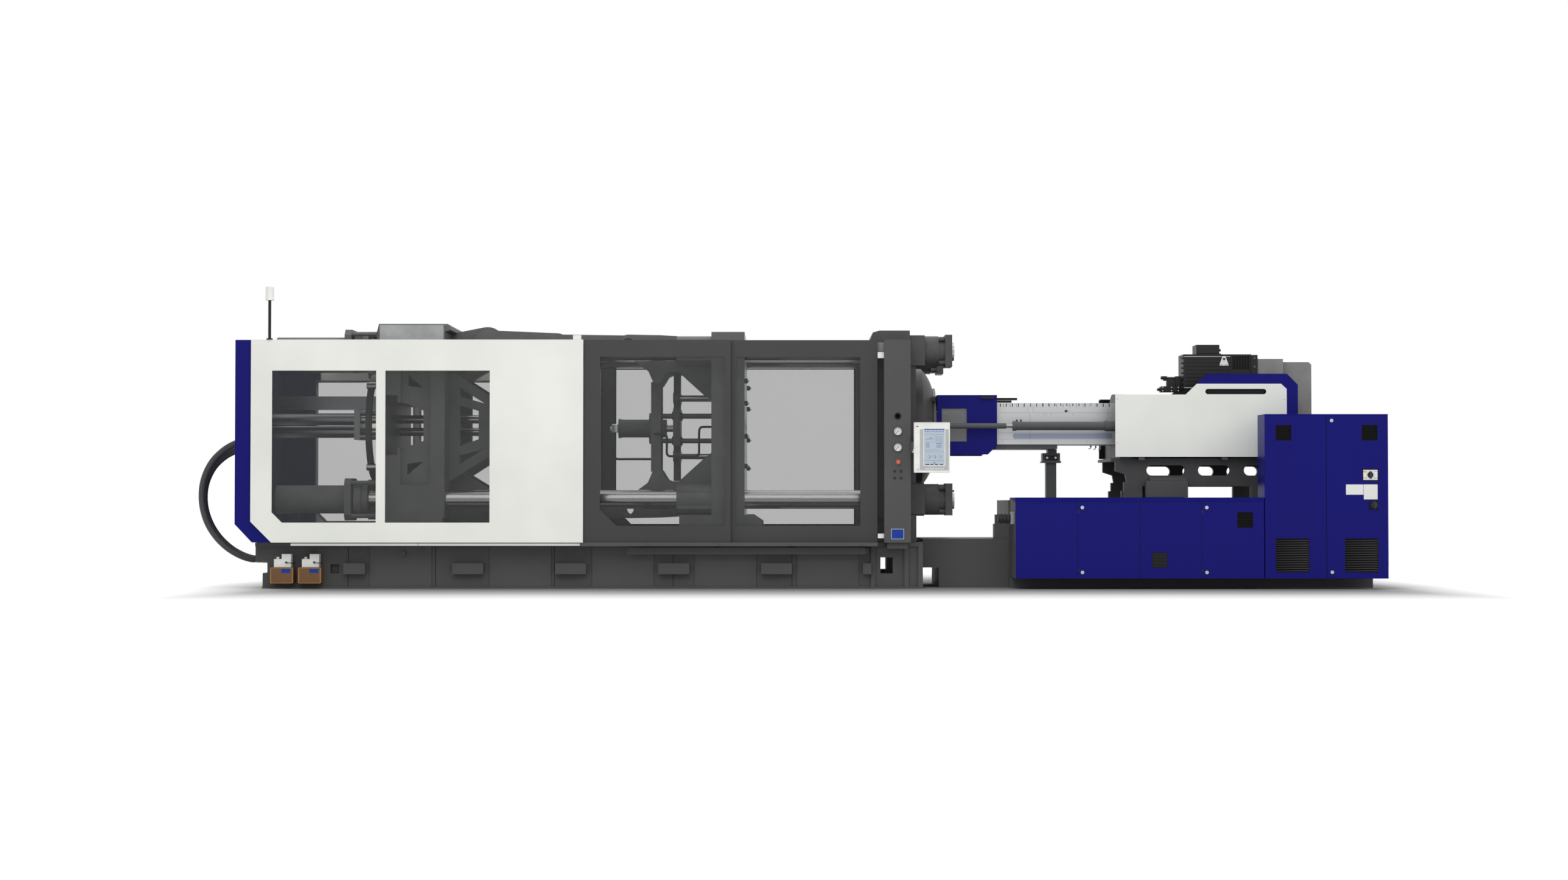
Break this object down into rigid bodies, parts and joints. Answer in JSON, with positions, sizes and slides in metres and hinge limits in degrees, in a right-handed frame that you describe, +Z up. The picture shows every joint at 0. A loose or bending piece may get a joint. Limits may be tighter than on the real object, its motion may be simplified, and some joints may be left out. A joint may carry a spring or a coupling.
{
  "type": "injection moulding machine",
  "caption": "Horizontal toggle clamp injection moulding machine with sliding guards, injection carriage, base cabinets and operator panel.",
  "frame": {"origin": "floor level under the mould face of the fixed platen, on the centre plane", "axes": "+X along the injection axis towards the drive end, -Y to the operator side, +Z up"},
  "size_m": [11.882, 2.7, 2.995],
  "materials": {
    "white_paint": "satin powder coat",
    "blue_paint": "satin powder coat",
    "grey_paint": "satin paint",
    "gate_paint": "satin powder coat",
    "light_grey_paint": "satin paint",
    "casting": "painted casting",
    "case_casting": "painted casting",
    "chrome_bar": "hard chrome, ground",
    "bright_steel": "machined",
    "silver_sheet": "brushed sheet",
    "black_paint": "satin paint",
    "black_plastic": "moulded",
    "white_plastic": "moulded",
    "red_plastic": "moulded",
    "amber_tank": "translucent",
    "window": "clear sheet",
    "hose_rubber": "smooth cover"
  },
  "bodies": {
    "frame": {"clamp_bed": "grey_paint", "fixed_platen": "casting", "tie_bars": "chrome_bar", "tie_bar_nuts": "casting", "clamp_guards": "white_paint", "guard_windows": "window", "end_cover": "blue_paint", "gate_rails": "light_grey_paint", "guard_posts": "grey_paint", "post_fittings": "black_plastic", "beacon_pole": "black_paint", "beacon_lamp": "white_plastic", "hose_near": "hose_rubber", "hose_far": "hose_rubber", "hose_glands": "bright_steel", "lubricator_tanks": "amber_tank", "lubricator_pumps": "white_plastic", "injection_base": "grey_paint", "low_cabinets": "blue_paint", "tall_cabinet": "blue_paint", "base_manifold": "bright_steel", "barrel_support": "light_grey_paint", "carriage_rods": "chrome_bar", "hmi_arm": "black_paint"},
    "hmi": {"hmi_panel": "white_plastic"},
    "stop_button": {"stop_button": "red_plastic"},
    "needle_upper": {"needle_upper": "black_plastic"},
    "needle_lower": {"needle_lower": "black_plastic"},
    "tail": {"tail_platen": "casting", "clamp_cylinders": "casting", "bar_adjusters": "casting"},
    "upper_rear": {"upper_rear_link": "casting"},
    "lower_rear": {"lower_rear_link": "casting"},
    "upper_front": {"upper_front_link": "casting"},
    "lower_front": {"lower_front_link": "casting"},
    "upper_cross": {"upper_cross_link": "casting"},
    "lower_cross": {"lower_cross_link": "casting"},
    "crosshead": {"crosshead": "casting"},
    "moving": {"moving_platen": "casting", "ejector_cylinder": "casting"},
    "ejector": {"ejector_plate": "bright_steel"},
    "gate_left": {"gate_left": "gate_paint"},
    "gate_right": {"gate_right": "gate_paint"},
    "rear_gate_left": {"rear_gate_left": "gate_paint"},
    "rear_gate_right": {"rear_gate_right": "gate_paint"},
    "carriage": {"injection_frame": "casting", "barrel": "bright_steel", "barrel_cover": "silver_sheet", "carriage_cylinders": "black_paint", "unit_covers": "white_paint"},
    "drive": {"drive_motor": "black_paint", "gear_case": "case_casting"},
    "screw": {"screw": "bright_steel"},
    "nozzle_guard": {"nozzle_guard": "blue_paint"},
    "low_door_left": {"low_door_left": "blue_paint"},
    "low_door_right": {"low_door_right": "blue_paint"},
    "tall_door_left": {"tall_door_left": "blue_paint"},
    "tall_door_right": {"tall_door_right": "blue_paint"},
    "main_switch": {"main_switch": "black_plastic"},
    "breaker_lever": {"breaker_lever": "black_plastic"}
  },
  "joints": [
    {"name": "die_height", "type": "slide", "parent": "frame", "child": "tail", "axis": [1, 0, 0], "range_m": [0, 0.5]},
    {"name": "toggle", "type": "hinge", "parent": "tail", "child": "upper_rear", "pos_m": [-3.89, 0, 2.472], "axis": [0, 1, 0], "range_deg": [0, 68]},
    {"name": "upper_elbow", "type": "hinge", "parent": "upper_rear", "child": "upper_front", "pos_m": [-3.17, 0, 2.472], "axis": [0, 1, 0], "range_deg": [-136, 0]},
    {"name": "platen_pivot", "type": "hinge", "parent": "upper_front", "child": "moving", "pos_m": [-2.45, 0, 2.472], "axis": [0, 1, 0], "range_deg": [0, 68]},
    {"name": "lower_toggle", "type": "hinge", "parent": "tail", "child": "lower_rear", "pos_m": [-3.89, 0, 0.792], "axis": [0, 1, 0], "range_deg": [-68, 0]},
    {"name": "lower_elbow", "type": "hinge", "parent": "lower_rear", "child": "lower_front", "pos_m": [-3.17, 0, 0.792], "axis": [0, 1, 0], "range_deg": [0, 136]},
    {"name": "upper_cross_pivot", "type": "hinge", "parent": "upper_rear", "child": "upper_cross", "pos_m": [-3.48431, 0, 2.3633], "axis": [0, 1, 0], "range_deg": [-136, 0]},
    {"name": "crosshead_pivot", "type": "hinge", "parent": "upper_cross", "child": "crosshead", "pos_m": [-3.07862, 0, 2.472], "axis": [0, 1, 0], "range_deg": [0, 68]},
    {"name": "lower_cross_pivot", "type": "hinge", "parent": "lower_rear", "child": "lower_cross", "pos_m": [-3.48431, 0, 0.9007], "axis": [0, 1, 0], "range_deg": [0, 136]},
    {"name": "ejector_stroke", "type": "slide", "parent": "moving", "child": "ejector", "axis": [1, 0, 0], "range_m": [0, 0.2]},
    {"name": "gate_slide", "type": "slide", "parent": "frame", "child": "gate_right", "axis": [-1, 0, 0], "range_m": [0, 2.9]},
    {"name": "gate_left_slide", "type": "slide", "parent": "frame", "child": "gate_left", "axis": [-1, 0, 0], "range_m": [0, 1.45]},
    {"name": "rear_gate_slide", "type": "slide", "parent": "frame", "child": "rear_gate_right", "axis": [-1, 0, 0], "range_m": [0, 2.9]},
    {"name": "rear_gate_left_slide", "type": "slide", "parent": "frame", "child": "rear_gate_left", "axis": [-1, 0, 0], "range_m": [0, 1.45]},
    {"name": "carriage_slide", "type": "slide", "parent": "frame", "child": "carriage", "axis": [1, 0, 0], "range_m": [0, 0.5]},
    {"name": "injection_stroke", "type": "slide", "parent": "carriage", "child": "drive", "axis": [1, 0, 0], "range_m": [0, 0.45]},
    {"name": "screw_spin", "type": "hinge", "parent": "drive", "child": "screw", "pos_m": [3.4, 0, 1.632], "axis": [1, 0, 0], "continuous": true},
    {"name": "nozzle_guard_slide", "type": "slide", "parent": "frame", "child": "nozzle_guard", "axis": [1, 0, 0], "range_m": [0, 0.2]},
    {"name": "hmi_swivel", "type": "hinge", "parent": "frame", "child": "hmi", "pos_m": [0.403, -1.33, 1.4], "axis": [0, 0, 1], "range_deg": [-80, 0]},
    {"name": "stop_push", "type": "slide", "parent": "frame", "child": "stop_button", "axis": [0, 1, 0], "range_m": [0, 0.007], "stiffness_N_per_m": 1500},
    {"name": "needle_upper_turn", "type": "hinge", "parent": "frame", "child": "needle_upper", "pos_m": [0.262, -1.3, 1.557], "axis": [0, 1, 0], "range_deg": [0, 270]},
    {"name": "needle_lower_turn", "type": "hinge", "parent": "frame", "child": "needle_lower", "pos_m": [0.262, -1.3, 1.398], "axis": [0, 1, 0], "range_deg": [0, 270]},
    {"name": "low_door_left_hinge", "type": "hinge", "parent": "frame", "child": "low_door_left", "pos_m": [2.6395, -1.295, 0.5], "axis": [0, 0, 1], "range_deg": [0, 90]},
    {"name": "low_door_right_hinge", "type": "hinge", "parent": "frame", "child": "low_door_right", "pos_m": [3.8655, -1.295, 0.5], "axis": [0, 0, 1], "range_deg": [0, 90]},
    {"name": "tall_door_left_hinge", "type": "hinge", "parent": "frame", "child": "tall_door_left", "pos_m": [3.8855, -1.295, 0.9], "axis": [0, 0, 1], "range_deg": [-90, 0]},
    {"name": "tall_door_right_hinge", "type": "hinge", "parent": "frame", "child": "tall_door_right", "pos_m": [5.0905, -1.295, 0.9], "axis": [0, 0, 1], "range_deg": [0, 90]},
    {"name": "main_switch_turn", "type": "hinge", "parent": "tall_door_right", "child": "main_switch", "pos_m": [4.951, -1.3, 0.831], "axis": [0, 1, 0], "range_deg": [0, 90]},
    {"name": "breaker_turn", "type": "hinge", "parent": "tall_door_right", "child": "breaker_lever", "pos_m": [4.921, -1.3, 1.128], "axis": [0, 1, 0], "range_deg": [0, 90]}
  ],
  "couplings": [
    {"joint": "upper_elbow", "follows": "toggle", "ratio": -2},
    {"joint": "platen_pivot", "follows": "toggle", "ratio": 1},
    {"joint": "lower_toggle", "follows": "toggle", "ratio": -1},
    {"joint": "lower_elbow", "follows": "toggle", "ratio": 2},
    {"joint": "upper_cross_pivot", "follows": "toggle", "ratio": -2},
    {"joint": "crosshead_pivot", "follows": "toggle", "ratio": 1},
    {"joint": "lower_cross_pivot", "follows": "toggle", "ratio": 2},
    {"joint": "gate_left_slide", "follows": "gate_slide", "ratio": 0.5},
    {"joint": "rear_gate_left_slide", "follows": "rear_gate_slide", "ratio": 0.5}
  ]
}
